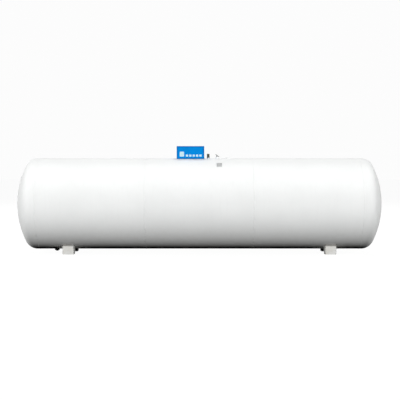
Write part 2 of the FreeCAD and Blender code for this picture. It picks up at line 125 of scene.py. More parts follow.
def spread(tree, value, low, high, to_low=0.0, to_high=1.0):
    """Takes the range low..high of a value to another range, and holds it there outside."""
    node = tree.nodes.new("ShaderNodeMapRange")
    node.inputs["From Min"].default_value = low
    node.inputs["From Max"].default_value = high
    node.inputs["To Min"].default_value = to_low
    node.inputs["To Max"].default_value = to_high
    tree.links.new(value, node.inputs["Value"])
    return node.outputs["Result"]


# %% Helpers that join values and colours
def combine(tree, operation, first, second):
    """One of Blender's sums on two values, either of which may be a plain number."""
    node = tree.nodes.new("ShaderNodeMath")
    node.operation = operation
    for socket, value in zip(node.inputs, (first, second)):
        if isinstance(value, (int, float)):
            socket.default_value = value
        else:
            tree.links.new(value, socket)
    return node.outputs[0]


def blend_colours(tree, amount, first, second):
    """The first colour where amount is 0 and the second where it is 1. Each is a colour or a socket."""
    node = tree.nodes.new("ShaderNodeMix")
    node.data_type = "RGBA"
    tree.links.new(amount, node.inputs["Factor"])
    for socket, value in ((node.inputs[6], first), (node.inputs[7], second)):
        if isinstance(value, tuple):
            socket.default_value = (*value, 1)
        else:
            tree.links.new(value, socket)
    return node.outputs[2]


def coordinate(tree, axis):
    """One coordinate, in metres, of the point being shaded. Z is its height above the ground."""
    split = tree.nodes.new("ShaderNodeSeparateXYZ")
    tree.links.new(place(tree), split.inputs[0])
    return split.outputs[axis]


def bump(tree, shader, value, depth, after=None):
    """Raises the surface by value times depth, in metres, on top of an earlier bump if there is one."""
    node = tree.nodes.new("ShaderNodeBump")
    node.inputs["Strength"].default_value = 1.0
    node.inputs["Distance"].default_value = depth
    tree.links.new(value, node.inputs["Height"])
    if after is not None:
        tree.links.new(after, node.inputs["Normal"])
    tree.links.new(node.outputs["Normal"], shader.inputs["Normal"])
    return node.outputs["Normal"]


# %% [markdown]
# ## Floor, background and light
# A white tank needs a white room, but light from all sides would leave it flat. So the room is bright
# only to the camera, and the tank is lit by a few large soft lamps. Two of them stand low in front, one
# to each side: their light slides under the belly and fades to nothing there, which is what makes the
# shell read as round. Gloss mirrors a soft glow from above the horizon and nothing from below it, as over
# ground in shade.

# %% The pale floor
floor_size = 60
floor_grey = 0.06
floor_glow = 0.962

bpy.ops.object.select_all(action="DESELECT")
bpy.ops.mesh.primitive_plane_add(size=floor_size, location=(0, 0, 0))
floor = bpy.context.object
floor.name = "studio_floor"
floor_finish, _, floor_shader = new_finish("pale_floor", 0.9)
floor_shader.inputs["Base Color"].default_value = (floor_grey, floor_grey, floor_grey, 1)
floor_shader.inputs["Specular IOR Level"].default_value = 0
floor_shader.inputs["Emission Color"].default_value = (1, 1, 1, 1)
floor_shader.inputs["Emission Strength"].default_value = floor_glow
floor.data.materials.append(floor_finish)
floor.visible_diffuse = False
floor.visible_glossy = False

# %% The white surroundings
seen_glow = 0.975
mirrored_glow = 0.34
horizon_blur = 0.1  # sine of the angle over which the mirrored glow fades in

world = bpy.data.worlds.new("white_studio")
bpy.context.scene.world = world
world.use_nodes = True
sky = world.node_tree
sky.nodes.clear()
direction = sky.nodes.new("ShaderNodeTexCoord")
split_direction = sky.nodes.new("ShaderNodeSeparateXYZ")
sky.links.new(direction.outputs["Generated"], split_direction.inputs[0])
overhead = spread(sky, split_direction.outputs["Z"], -horizon_blur, horizon_blur, 0, mirrored_glow)
ray = sky.nodes.new("ShaderNodeLightPath")
mirrored = combine(sky, "MULTIPLY", ray.outputs["Is Glossy Ray"], overhead)
seen = combine(sky, "MULTIPLY", ray.outputs["Is Camera Ray"], seen_glow)
glow = sky.nodes.new("ShaderNodeBackground")
glow.inputs["Color"].default_value = (1, 1, 1, 1)
sky.links.new(combine(sky, "ADD", seen, mirrored), glow.inputs["Strength"])
sky_output = sky.nodes.new("ShaderNodeOutputWorld")
sky.links.new(glow.outputs[0], sky_output.inputs["Surface"])
bpy.context.scene.view_settings.view_transform = "Standard"
print("the camera sees a glow of", seen_glow, "and gloss one of", mirrored_glow)


# %% The soft lamps
def soft_lamp(name, azimuth, elevation, distance, size, brightness, glint=False):
    """A rectangular lamp aimed at the tank. Brightness is what a white surface facing it would reach.

    Only a lamp with a glint is mirrored in gloss. A low one would turn a glossy top white from behind.
    """
    light = bpy.data.lights.new(name, "AREA")
    light.shape = "RECTANGLE"
    light.size, light.size_y = size
    light.energy = brightness * (math.pi * distance) ** 2
    lamp = bpy.data.objects.new(name, light)
    turn = math.radians(azimuth)
    rise = math.radians(elevation)
    way = Vector((math.sin(turn) * math.cos(rise), -math.cos(turn) * math.cos(rise), math.sin(rise)))
    lamp.location = Vector((0, 0, axis_height)) + way * distance
    lamp.rotation_euler = (-way).to_track_quat("-Z", "Y").to_euler()
    lamp.visible_camera = False
    lamp.visible_glossy = glint
    bpy.context.collection.objects.link(lamp)


soft_lamp("key_lamp", azimuth=-36, elevation=14.5, distance=11, size=(4, 0.9), brightness=0.66)
soft_lamp("fill_lamp", azimuth=34, elevation=14.5, distance=11, size=(4, 0.9), brightness=0.64)
soft_lamp("rear_lamp", azimuth=180, elevation=30, distance=11, size=(5, 3), brightness=0.62)
soft_lamp("top_lamp", azimuth=180, elevation=82, distance=8, size=(6, 2), brightness=0.48, glint=True)
soft_lamp("left_lamp", azimuth=-92, elevation=12, distance=8, size=(3, 2), brightness=0.29)
soft_lamp("right_lamp", azimuth=90, elevation=12, distance=8, size=(3, 2), brightness=0.22)
print(len(bpy.data.lights), "lamps stand round the tank")

# %% [markdown]
# ## White tank paint
# The vessel is blasted, primed and sprayed white. Sprayed paint is never quite even: it has a faint
# orange peel, the tone drifts over a hand's width, and rain leaves very soft streaks down the flanks. All
# of that stays within a few hundredths, because the paint is new and clean. The legs' white is painted
# greyer, as shade under the belly, and dustier near the ground. A dark band along their top is painted
# shadow of the shell's belly.

# %% Mix the white paint
dust_height = 0.35  # the height that splashed dust reaches
# A painted shadow of the shell's belly along the legs' top: its colour, strength, height, soft edge and
# wander.
belly_shadow_colour = (0.13, 0.125, 0.115)
belly_shadow_cover = 0.76
belly_shadow_band = 0.022
belly_shadow_fade = 0.006
belly_shadow_wander = 0.002  # how far the edge of the painted shadow strays up and down


def toned(colour, share):
    """A colour at a share of its brightness."""
    return tuple(share * part for part in colour)


def white_paint(name, colour, dust_colour, dust, belly_shadow_from=None):
    """White enamel with soft rain streaks, drifting tone, orange peel and dust near the ground.

    The last argument is the height above which the paint darkens, as painted shadow of the shell's belly.
    """
    made, tree, shader = new_finish(name, 0.5)
    shader.inputs["Specular IOR Level"].default_value = 0.22
    drift = spread(tree, noise(tree, 3.2), 0.35, 0.65)
    streaks = spread(tree, noise(tree, 26, detail=3, stretch=(1, 1, 0.06)), 0.5, 0.75, 0, 0.5)
    tone = blend_colours(tree, drift, colour, toned(colour, 0.975))
    streaked = blend_colours(tree, streaks, tone, toned(colour, 0.96))
    near_ground = spread(tree, coordinate(tree, "Z"), 0, dust_height, dust, 0)
    patches = combine(tree, "MULTIPLY", near_ground, spread(tree, noise(tree, 18, detail=8), 0.35, 0.6))
    surface = blend_colours(tree, patches, streaked, dust_colour)
    # Painted shadow: a dark band above a height stands for the shadow of the shell's belly.
    if belly_shadow_from is not None:
        wander = spread(tree, noise(tree, 60), *usual_noise, -belly_shadow_wander, belly_shadow_wander)
        level = combine(tree, "ADD", coordinate(tree, "Z"), wander)
        belly_shadow = spread(tree, level, belly_shadow_from, belly_shadow_from + belly_shadow_fade, 0, belly_shadow_cover)
        surface = blend_colours(tree, belly_shadow, surface, belly_shadow_colour)
    tree.links.new(surface, shader.inputs["Base Color"])
    tree.links.new(spread(tree, noise(tree, 9), *usual_noise, 0.5, 0.62), shader.inputs["Roughness"])
    peel = bump(tree, shader, noise(tree, 190, detail=2), 0.00012)
    bump(tree, shader, noise(tree, 2.1, detail=1), 0.0012, after=peel)
    return made


leg_face_top = axis_height - math.sqrt(outer_radius**2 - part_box("leg_front_left")[0].y ** 2)
tank_white = white_paint("tank_white", (0.8, 0.81, 0.805), (0.6, 0.58, 0.53), dust=0.25)
# The legs' white is greyer than the tank's, as painted shade under the belly, and it carries the painted
# shadow band.
shaded_leg_white = white_paint(
    "shaded_leg_white", (0.69, 0.695, 0.68), (0.53, 0.5, 0.44), dust=0.5, belly_shadow_from=leg_face_top - belly_shadow_band
)
print(f"the front legs reach {leg_face_top:.3f} m up the shell")

# %% [markdown]
# ## Blue hood enamel
# The hood is a separate pressing, painted in a strong blue with a harder, glossier enamel than the tank.
# The blue is painted deeper near each fold and over the whole top, as painted shade where the sheet turns
# from the light. How near a point is to a fold is worked out from the hood's own box, as a share of the way
# from its middle.


# %% Mix the hood's blue
side_fold_shade = (0.86, 0.95)  # shares of the way out where the painted shade of a fold begins and is full
top_fold_shade = (0.76, 0.9)
fold_shade_cover = 0.75


def share_from_middle(tree, axis, low, high):
    """How far a point is from the middle of a stretch of one axis: 0 in the middle, 1 at either end."""
    centred = combine(tree, "SUBTRACT", coordinate(tree, axis), (low + high) / 2)
    return combine(tree, "ABSOLUTE", combine(tree, "DIVIDE", centred, (high - low) / 2), 0)


def hood_enamel(low, high):
    """Glossy blue with painted shade at each fold and over the top of a hood that fills the box from low to
    high, with fine dust.
    """
    made, tree, shader = new_finish("hood_blue", 0.16)
    shader.inputs["Specular IOR Level"].default_value = 0.16
    drift = spread(tree, noise(tree, 14), 0.35, 0.65)
    blue = blend_colours(tree, drift, (0.001, 0.215, 0.62), (0.001, 0.2, 0.58))
    # Painted shade: the blue darkens towards each fold and over the top.
    across = spread(tree, share_from_middle(tree, "X", low.x, high.x), *side_fold_shade)
    upward = spread(tree, share_from_middle(tree, "Z", low.z, high.z), *top_fold_shade)
    fold_shade = combine(tree, "MULTIPLY", combine(tree, "MAXIMUM", across, upward), fold_shade_cover)
    fold_shaded_blue = blend_colours(tree, fold_shade, blue, (0.0005, 0.11, 0.36))
    specks = spread(tree, noise(tree, 420, detail=2), 0.68, 0.76, 0, 0.1)
    dusty = blend_colours(tree, specks, fold_shaded_blue, (0.1, 0.3, 0.6))
    tree.links.new(dusty, shader.inputs["Base Color"])
    tree.links.new(spread(tree, noise(tree, 40), *usual_noise, 0.12, 0.2), shader.inputs["Roughness"])
    bump(tree, shader, noise(tree, 260, detail=2), 0.00006)
    return made


hood_low, hood_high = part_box("hood_cover")
hood_blue = hood_enamel(hood_low, hood_high)
print("the hood measures", [round(side, 3) for side in hood_high - hood_low], "metres")

# %% [markdown]
# ## Metals
# Brass valves go dull and brownish in the hollows within a few weeks. The hinge pin, screws and rivets
# are zinc plated, the gauge head is a rough aluminium casting, and the data plate is brushed stainless
# steel, whose grain is drawn out along the plate.


# %% Mix the metals
def metal(name, bright, dull, roughness, grain, stretch=(1, 1, 1), metallic=0.8):
    """A metal that drifts between a bright and a dull tone.

    roughness is the smoothest and the roughest, grain is lumps a metre and their depth.
    """
    made, tree, shader = new_finish(name, roughness[0], metallic)
    tarnish = spread(tree, noise(tree, 55, detail=6), 0.38, 0.62)
    tree.links.new(blend_colours(tree, tarnish, bright, dull), shader.inputs["Base Color"])
    texture = noise(tree, grain[0], detail=3, stretch=stretch)
    tree.links.new(spread(tree, texture, *usual_noise, *roughness), shader.inputs["Roughness"])
    bump(tree, shader, texture, grain[1])
    return made


valve_brass = metal(
    "dull_brass", (0.37, 0.33, 0.215), (0.2, 0.18, 0.122), roughness=(0.34, 0.5), grain=(700, 0.00008)
)
zinc_steel = metal(
    "zinc_steel",
    (0.62, 0.63, 0.62),
    (0.48, 0.48, 0.46),
    roughness=(0.3, 0.5),
    grain=(500, 0.00005),
    metallic=0.6,
)
cast_alloy = metal(
    "cast_alloy",
    (0.6, 0.6, 0.59),
    (0.45, 0.45, 0.45),
    roughness=(0.45, 0.65),
    grain=(900, 0.0002),
    metallic=0.5,
)
plate_steel = metal(
    "brushed_plate",
    (0.42, 0.43, 0.43),
    (0.34, 0.35, 0.35),
    roughness=(0.32, 0.5),
    grain=(1400, 0.00004),
    stretch=(0.03, 1, 1),
    metallic=0.3,
)


# %% [markdown]
# ## Red enamel, iron, rubber and dial plastic
# These finishes cover only a few small parts, but each has its own look: the handwheel's enamel is
# chipped to grey iron, the drain's plug is black iron and its coupling is painted near-black as painted
# shade under the belly, and the weather caps are grey rubber with a chalky skin.


# %% Mix the small parts' finishes
patch_edge = 0.05
roughness_drift = 0.08


def two_tone(name, colour, other, cover, roughness, grain):
    """A dull finish with patches of another tone. grain is lumps a metre and their depth."""
    made, tree, shader = new_finish(name, roughness)
    threshold = usual_noise[1] - cover
    patches = spread(tree, noise(tree, 60, detail=8), threshold, threshold + patch_edge)
    tree.links.new(blend_colours(tree, patches, colour, other), shader.inputs["Base Color"])
    texture = noise(tree, grain[0], detail=3)
    varied = spread(tree, texture, *usual_noise, roughness - roughness_drift, roughness + roughness_drift)
    tree.links.new(varied, shader.inputs["Roughness"])
    bump(tree, shader, texture, grain[1])
    return made


wheel_red = two_tone(
    "wheel_red", (0.42, 0.03, 0.025), (0.3, 0.29, 0.28), cover=0.02, roughness=0.35, grain=(400, 0.00012)
)
# Black iron for the drain's plug; on the drain's coupling the same near-black is painted shade under the
# belly.
black_iron_and_shade = two_tone(
    "black_iron_and_shade", (0.012, 0.012, 0.012), (0.03, 0.024, 0.02), cover=0.15, roughness=0.6, grain=(600, 0.0003)
)
grey_rubber = two_tone(
    "grey_rubber", (0.27, 0.28, 0.28), (0.38, 0.38, 0.37), cover=0.12, roughness=0.7, grain=(800, 0.0001)
)
dial_plastic = two_tone(
    "dial_plastic", (0.05, 0.05, 0.052), (0.1, 0.1, 0.1), cover=0.05, roughness=0.3, grain=(500, 0.00004)
)

# %% [markdown]
# ## Put the finishes on the parts
# Each part in the frame already has a slot that says what it is made of. Only the material in the slot
# changes, so the part's shape and place stay exactly as they were built.

# %% Assign the finishes
finish_of_slot = {
    "shell_paint": tank_white,
    "leg_paint": shaded_leg_white,
    "hood_paint": hood_blue,
    "hardware": zinc_steel,
    "valve_brass": valve_brass,
    "wheel_paint": wheel_red,
    "gauge_casting": cast_alloy,
    "dial_plastic": dial_plastic,
    "cap_plastic": grey_rubber,
    "plug_iron": black_iron_and_shade,
    "plate_steel": plate_steel,
}
for subpart in frame["record"]["subparts"]:
    for material_slot in frame["nodes"][subpart["node"]].material_slots:
        material_slot.material = finish_of_slot[subpart["material_slot"]]

# %% [markdown]
# ## Modelling by hand, in code
# The small pieces are made as they would be with the mouse: add a primitive where it belongs, go into
# edit mode, select some faces by where they are, and extrude, inset or bevel them. These helpers do the
# selecting, and give a finished piece its name, its finish and the body that it moves with.


# %% Helpers for modelling
def select_only(piece):
    """Leaves one piece selected and active, so that the next operator acts on nothing else."""
    bpy.ops.object.select_all(action="DESELECT")
    piece.select_set(True)
    bpy.context.view_layer.objects.active = piece


def edit_all():
    """Goes into edit mode on the active piece, with all of it selected."""
    bpy.ops.object.mode_set(mode="EDIT")
    bpy.ops.mesh.select_mode(type="VERT")
    bpy.ops.mesh.select_all(action="SELECT")


def pick(piece, kind, test):
    """In edit mode, selects the vertices, edges or faces whose middle passes the test, and nothing else."""
    bpy.ops.mesh.select_mode(type=kind)
    bpy.ops.mesh.select_all(action="DESELECT")
    shape = bmesh.from_edit_mesh(piece.data)
    for item in {"VERT": shape.verts, "EDGE": shape.edges, "FACE": shape.faces}[kind]:
        if kind == "VERT":
            chosen = test(item.co)
        elif kind == "EDGE":
            start, stop = (vertex.co for vertex in item.verts)
            chosen = test((start + stop) / 2, stop - start)
        else:
            chosen = test(item.calc_center_median(), item.normal)
        item.select_set(chosen)
    bmesh.update_edit_mesh(piece.data)


def extrude(move):
    """In edit mode, extrudes what is selected by a move, and leaves the new part selected."""
    bpy.ops.mesh.extrude_region_move(TRANSFORM_OT_translate={"value": move})


def set_place(piece):
    """Moves a piece's place, turn and scale into its mesh."""
    select_only(piece)
    bpy.ops.object.transform_apply(location=True, rotation=True, scale=True)


def close_up(piece):
    """Leaves edit mode, merges the piece's doubled vertices and turns every face outwards."""
    bpy.ops.object.mode_set(mode="OBJECT")
    select_only(piece)
    edit_all()
    bpy.ops.mesh.remove_doubles(threshold=0.00002)
    bpy.ops.mesh.normals_make_consistent(inside=False)
    bpy.ops.object.mode_set(mode="OBJECT")


# %% Helpers for finished pieces
def finished(piece, name, slot, body="tank", smooth=35, finish=None):
    """Names a piece, fastens it to a body, and gives it its slot's finish unless another one is named.

    Prints how many edges were left open.
    """
    piece.name = name
    set_place(piece)
    bpy.ops.object.shade_smooth_by_angle(angle=math.radians(smooth))
    piece.data.materials.clear()
    piece.data.materials.append(finish or finish_of_slot[slot])
    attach(piece, body)
    shape = bmesh.new()
    shape.from_mesh(piece.data)
    open_edges = sum(len(edge.link_faces) != 2 for edge in shape.edges)
    volume = shape.calc_volume() * 1e6
    print(f"{name}: {len(shape.faces)} faces, {open_edges} open edges, volume {volume:.2f} cm3")
    shape.free()


def copied(piece, matrix):
    """A copy of a piece with its own mesh, put in place by a matrix."""
    twin = piece.copy()
    twin.data = piece.data.copy()
    twin.data.transform(matrix)
    bpy.context.collection.objects.link(twin)
    return twin


def joined(pieces):
    """One object from several."""
    bpy.ops.object.select_all(action="DESELECT")
    for piece in pieces:
        piece.select_set(True)
    bpy.context.view_layer.objects.active = pieces[0]
    bpy.ops.object.join()
    return bpy.context.object


def round_shell(x, angle, radius):
    """The matrix that takes a piece from the origin to a radius, at an angle forward of the shell's top."""
    along = Matrix.Translation((x, 0, axis_height))
    return along @ Matrix.Rotation(angle, 4, "X") @ Matrix.Translation((0, 0, radius))


# %% [markdown]
# ## Girth welds
# Two rings of weld join the three rolled plates, and two more join the heads. A submerged-arc weld is a
# low, wide bead, nearly flush, that paint covers. A circle is squashed to the bead's section and spun
# about the vessel's axis, which keeps the ring exactly round. A cloud texture then makes its height
# wander a little, as a real bead does.

# %% Spin the girth welds
bead_width = 0.011
bead_rise = 0.0011
bead_wander = 0.0005
bead_facets = 10
bead_squash = 2 * bead_rise / bead_width
girth_steps = 288
unevenness = bpy.data.textures.new("bead_unevenness", "CLOUDS")
unevenness.noise_scale = 0.03


def make_uneven(bead):
    """Lets a bead's surface wander a little in and out, with a displace modifier that is then applied."""
    select_only(bead)
    wander = bead.modifiers.new("wander", "DISPLACE")
    wander.texture = unevenness
    wander.strength = bead_wander
    wander.mid_level = 0.5
    bpy.ops.object.modifier_apply(modifier=wander.name)


def girth_weld(name, x):
    """A low ring of weld round the shell."""
    bpy.ops.mesh.primitive_circle_add(
        vertices=bead_facets,
        radius=bead_width / 2,
        fill_type="NOTHING",
        location=(x, 0, axis_height + outer_radius),
        rotation=(math.pi / 2, 0, 0),
    )
    bead = bpy.context.object
    bead.scale = (1, bead_squash, 1)
    set_place(bead)
    edit_all()
    bpy.ops.mesh.spin(steps=girth_steps, angle=2 * math.pi, center=(x, 0, axis_height), axis=(1, 0, 0))
    close_up(bead)
    make_uneven(bead)
    finished(bead, name, "shell_paint", smooth=80)


plate_ends = [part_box("shell_left")[0].x, shell_low.x, shell_high.x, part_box("shell_right")[1].x]
for number, seam_x in enumerate(plate_ends, start=1):
    girth_weld(f"girth_weld_{number}", seam_x)

# %% [markdown]
# ## Long seams
# Each plate is rolled into a tube and closed by one long seam. Welders stagger these seams from plate to
# plate and turn them to the back, away from the openings. Each bead starts as a squashed cylinder that
# lies on the shell, and its long edges are cut into short lengths so that the same unevenness can act on
# it.

# %% Lay the long seams
degrees_behind_top = {"shell_left": 124, "shell_middle": 98, "shell_right": 141}
seam_cuts = 90

for node, behind in degrees_behind_top.items():
    sheet_low, sheet_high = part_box(node)
    bpy.ops.mesh.primitive_cylinder_add(
        vertices=bead_facets,
        radius=bead_width / 2,
        depth=sheet_high.x - sheet_low.x,
        location=(0, 0, 0),
        rotation=(0, math.pi / 2, 0),
    )
    seam = bpy.context.object
    set_place(seam)
    seam.scale = (1, 1, bead_squash)
    set_place(seam)
    bpy.ops.object.mode_set(mode="EDIT")
    pick(seam, "EDGE", lambda middle, way: abs(way.x) > 10 * bead_width)
    bpy.ops.mesh.subdivide(number_cuts=seam_cuts)
    bpy.ops.object.mode_set(mode="OBJECT")
    seam.data.transform(round_shell((sheet_low.x + sheet_high.x) / 2, -math.radians(behind), outer_radius))
    make_uneven(seam)
    finished(seam, f"long_seam_{node.removeprefix('shell_')}", "shell_paint", smooth=80)

# %% [markdown]
# ## Fillet welds along a path
# Legs, couplings, curb and brackets are welded where they meet the shell. Such a bead follows a corner
# that bends with the shell, so it is drawn first: a point is extruded from place to place, the line
# becomes a curve, and the curve's bevel gives it a round section. Half of that tube is sunk in the steel
# and the other half is the weld.


# %% Helpers for fillet welds
def bead_along(points, radius, name, slot, body="tank", closed=False):
    """Lays a round bead through the points. A closed one runs on from the last point to the first."""
    bpy.ops.mesh.primitive_plane_add(size=radius, location=points[0])
    line = bpy.context.object
    set_place(line)
    edit_all()
    bpy.ops.mesh.merge(type="CENTER")
    for before, after in zip(points, points[1:]):
        extrude(after - before)
    if closed:
        ends = (points[0], points[-1])
        pick(line, "VERT", lambda spot: min((spot - end).length for end in ends) < radius / 50)
        bpy.ops.mesh.edge_face_add()
    bpy.ops.object.mode_set(mode="OBJECT")
    bpy.ops.object.convert(target="CURVE")
    line.data.bevel_depth = radius
    line.data.bevel_resolution = 2
    line.data.use_fill_caps = not closed
    bpy.ops.object.convert(target="MESH")
    bead = bpy.context.object
    close_up(bead)
    finished(bead, name, slot, body, smooth=80)


def on_shell(x, y, below=False):
    """The point of the shell's surface over, or under, a place on the plan."""
    rise = math.sqrt(outer_radius**2 - y**2)
    return Vector((x, y, axis_height - rise if below else axis_height + rise))


# %% [markdown]
# ## Leg welds
# Each leg is a pressed channel cut to the shell's curve. Its weld runs up one flange, round the corner,
# across the face and down the other flange, all on the outside of the channel.

# %% Weld the legs
leg_corner = 0.012
leg_bead = 0.0035
flange_points = 9
corner_points = 4

for end in ("left", "right"):
    for face in ("front", "rear"):
        leg_low, leg_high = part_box(f"leg_{face}_{end}")
        outer_y, inner_y = (leg_low.y, leg_high.y) if face == "front" else (leg_high.y, leg_low.y)
        inset = math.copysign(leg_corner, inner_y - outer_y)
        middle_x = (leg_low.x + leg_high.x) / 2
        half_width = (leg_high.x - leg_low.x) / 2
        half_path = []
        for step in range(flange_points):
            share = step / (flange_points - 1)
            half_path.append((half_width, inner_y + (outer_y + inset - inner_y) * share))
        for step in range(1, corner_points + 1):
            turn = math.pi / 2 * step / corner_points
            across = half_width - leg_corner * (1 - math.cos(turn))
            half_path.append((across, outer_y + inset * (1 - math.sin(turn))))
        path = [on_shell(middle_x - x, y, below=True) for x, y in half_path]
        path += [on_shell(middle_x + x, y, below=True) for x, y in reversed(half_path)]
        bead_along(path, leg_bead, f"leg_weld_{face}_{end}", "leg_paint")

# %% [markdown]
# ## Welds round the openings
# A coupling is a round post through a round shell, so its weld is a ring that dips to the front and to
# the rear, like a saddle. The same line of points serves all seven openings: only the middle and the
# radius change.

# %% Weld the couplings
coupling_nodes = ["service_coupling", "filler_coupling", "gauge_flange", "vapour_coupling"]
coupling_nodes += ["relief_coupling", "spare_coupling", "drain_coupling"]
saddle_points = 40
saddle_bead = 0.0032

for node in coupling_nodes:
    low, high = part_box(node)
    middle = (low + high) / 2
    radius = (high.x - low.x) / 2 + saddle_bead / 3
    below = middle.z < axis_height
    turns = [2 * math.pi * step / saddle_points for step in range(saddle_points)]
    ring = [on_shell(middle.x + radius * math.cos(t), radius * math.sin(t), below) for t in turns]
    bead_along(ring, saddle_bead, f"{node.rsplit('_', 1)[0]}_weld", "shell_paint", closed=True)


# %% [markdown]
# ## Welds of the curb and the hinge brackets
# The curb is welded on its inside, where the hood never comes. The two hinge brackets have a bead all
# round their feet.

# %% Weld the curb and the brackets
curb_bead = 0.0025
bracket_bead = 0.0022


def foot_weld(name, low, high, radius, points_along_y=9):
    """A closed rectangular bead on the shell, between two corners on the plan."""
    ys = [low.y + (high.y - low.y) * step / (points_along_y - 1) for step in range(points_along_y)]
    path = [on_shell(low.x, y) for y in ys] + [on_shell(high.x, y) for y in reversed(ys)]
    bead_along(path, radius, name, "shell_paint", closed=True)


curb_inner_low = Vector((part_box("curb_left")[1].x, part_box("curb_front")[1].y, 0))
curb_inner_high = Vector((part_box("curb_right")[0].x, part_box("curb_rear")[0].y, 0))
foot_weld("curb_weld", curb_inner_low, curb_inner_high, curb_bead, points_along_y=13)
for end in ("left", "right"):
    foot_weld(f"hinge_weld_{end}", *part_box(f"hinge_bracket_{end}"), bracket_bead)

# %% [markdown]
# ## The hood's hem
# Thin sheet is folded back on itself along a free edge, so that it is stiff and doesn't cut. The hem
# follows the hood's lower edge from one side of the pipe slot, round all four walls, to the other side.
# It is part of the hood, so it rides on the hood's body and swings up with it.

# %% Fold the hood's hem
sheet = 0.002
hood_corner = 0.006
slot_half = 0.03  # half the width of the pipe slot
hem_radius = 0.0022
hem_lift = 0.0016
fold_steps = 4
side_steps = 8
edge_radius = math.hypot(hood_high.y, hood_low.z - axis_height)


def hood_edge(x, y):
    """A point on the middle of the sheet, just above the hood's lower edge."""
    return Vector((x, y, axis_height + math.sqrt(edge_radius**2 - y**2) + hem_lift))


wall_left = hood_low.x + sheet / 2
wall_right = hood_high.x - sheet / 2
wall_front = hood_low.y + sheet / 2
wall_rear = hood_high.y - sheet / 2
bend = hood_corner - sheet / 2


def round_fold(x, y, way_x, way_y, start):
    """The points of one rounded corner of the hood, from an angle in degrees through a quarter turn."""
    centre_x = x - way_x * bend
    centre_y = y - way_y * bend
    turns = [math.radians(start + 90 * step / fold_steps) for step in range(fold_steps + 1)]
    return [hood_edge(centre_x + bend * math.cos(t), centre_y + bend * math.sin(t)) for t in turns]


front_stop = wall_front + bend
rear_stop = wall_rear - bend
hem_path = []
for step in range(side_steps):
    hem_path.append(hood_edge(wall_left, -slot_half + (front_stop + slot_half) * step / side_steps))
hem_path += round_fold(wall_left, wall_front, -1, -1, 180)
hem_path += round_fold(wall_right, wall_front, 1, -1, 270)
for step in range(1, 2 * side_steps):
    hem_path.append(hood_edge(wall_right, front_stop + (rear_stop - front_stop) * step / (2 * side_steps)))
hem_path += round_fold(wall_right, wall_rear, 1, 1, 0)
hem_path += round_fold(wall_left, wall_rear, -1, 1, 90)
for step in range(1, side_steps + 1):
    hem_path.append(hood_edge(wall_left, rear_stop + (slot_half - rear_stop) * step / side_steps))
bead_along(hem_path, hem_radius, "hood_hem", "hood_paint", body="hood")

# %% [markdown]
# ## Marking blocks
# The hood's front carries a marking in white vinyl. Here it is a plain row of blocks, which reads as a
# marking and says nothing. A block is a plate with rounded corners: the corners of a plane are bevelled,
# and the face is given the film's thickness.

# %% Helper for flat marks
unturned = Matrix.Identity(4)


def flat_mark(width, tall, thickness, corner, seat, turn=unturned):
    """A thin plate with rounded corners, its back on a seat. Its face is up until it is turned."""
    bpy.ops.mesh.primitive_plane_add(size=1, location=(0, 0, 0))
    mark = bpy.context.object
    mark.scale = (width, tall, 1)
    set_place(mark)
    edit_all()
    bpy.ops.mesh.bevel(offset=corner, offset_type="OFFSET", segments=5, affect="VERTICES")
    bpy.ops.mesh.select_all(action="SELECT")
    extrude((0, 0, thickness))
    close_up(mark)
    mark.data.transform(Matrix.Translation(seat) @ turn)
    return mark


# %% [markdown]
# Vinyl film is thin, slightly glossy and never quite clean: its tone drifts and it picks up fine dust.

# %% Mix the white vinyl, and lay the blocks
white_vinyl = two_tone(
    "white_vinyl", (0.5, 0.68, 0.75), (0.4, 0.6, 0.7), cover=0.12, roughness=0.4, grain=(500, 0.00005)
)
film = 0.0003
block_count = 5
block_pitch = 0.0385
block_width = 0.026
block_tall = 0.024
block_corner = 0.004
square_width = 0.05
square_tall = 0.056
square_corner = 0.01
square_lift = 0.017
marking_level = 0.26
block_start = 0.375
square_start = 0.19
upright = Matrix.Rotation(math.pi / 2, 4, "X")


def on_front_wall(share_along, share_up):
    """The point of the hood's front wall at two shares of its length and height."""
    size = hood_high - hood_low
    return Vector((hood_low.x + share_along * size.x, hood_low.y, hood_low.z + share_up * size.z))


first_block = on_front_wall(block_start, marking_level)
for number in range(block_count):
    seat = first_block + Vector((number * block_pitch, 0, 0))
    block = flat_mark(block_width, block_tall, film, block_corner, seat, upright)
    finished(block, f"marking_block_{number + 1}", "hood_paint", body="hood", finish=white_vinyl)
seat = on_front_wall(square_start, marking_level) + Vector((0, 0, square_lift))
square = flat_mark(square_width, square_tall, film, square_corner, seat, upright)
finished(square, "marking_square", "hood_paint", body="hood", finish=white_vinyl)

# %% [markdown]
# ## Hinge details
# The pin is held by a plain washer and a split pin at each end. A washer is two circles, the inner one
# extruded out of the outer one, with a thickness. A split pin is one bent wire, so it is drawn like the
# weld beads: up one leg, round the eye and down the other leg, with its two ends spread.

# %% Fit washers and split pins
pin_low, pin_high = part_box("hinge_pin")
pin_axis = (pin_low + pin_high) / 2
pin_radius = (pin_high.z - pin_low.z) / 2
pin_overhang = 0.005
washer_outer = 1.9 * pin_radius
washer_bore = 1.03 * pin_radius
washer_thick = 0.0011
washer_setback = 0.78 * pin_overhang
wire_radius = 0.0008
wire_setback = 0.4 * pin_overhang
wire_unit = pin_radius / 4  # the split pin's outline is across and up, in this unit
wire_leg = [(3.2, -8.2), (1.0, -5.0), (1.0, 5.0), (2.1, 7.0)]
wire_eye = (0.0, 8.4)


def washer(outer, inner, thick, seat, turn=unturned):
    """A flat ring with its back on a seat. It faces up until it is turned."""
    bpy.ops.mesh.primitive_circle_add(vertices=32, radius=outer, fill_type="NOTHING", location=(0, 0, 0))
    ring = bpy.context.object
    edit_all()
    extrude((0, 0, 0))
    bpy.ops.transform.resize(value=(inner / outer, inner / outer, 1))
    bpy.ops.mesh.select_all(action="SELECT")
    extrude((0, 0, thick))
    halfway = (outer + inner) / 2
    pick(ring, "EDGE", lambda middle, way: abs(way.z) < thick / 2 and middle.xy.length > halfway)
    bpy.ops.mesh.bevel(offset=thick / 5, segments=1, affect="EDGES")
    close_up(ring)
    ring.data.transform(Matrix.Translation(seat) @ turn)
    return ring


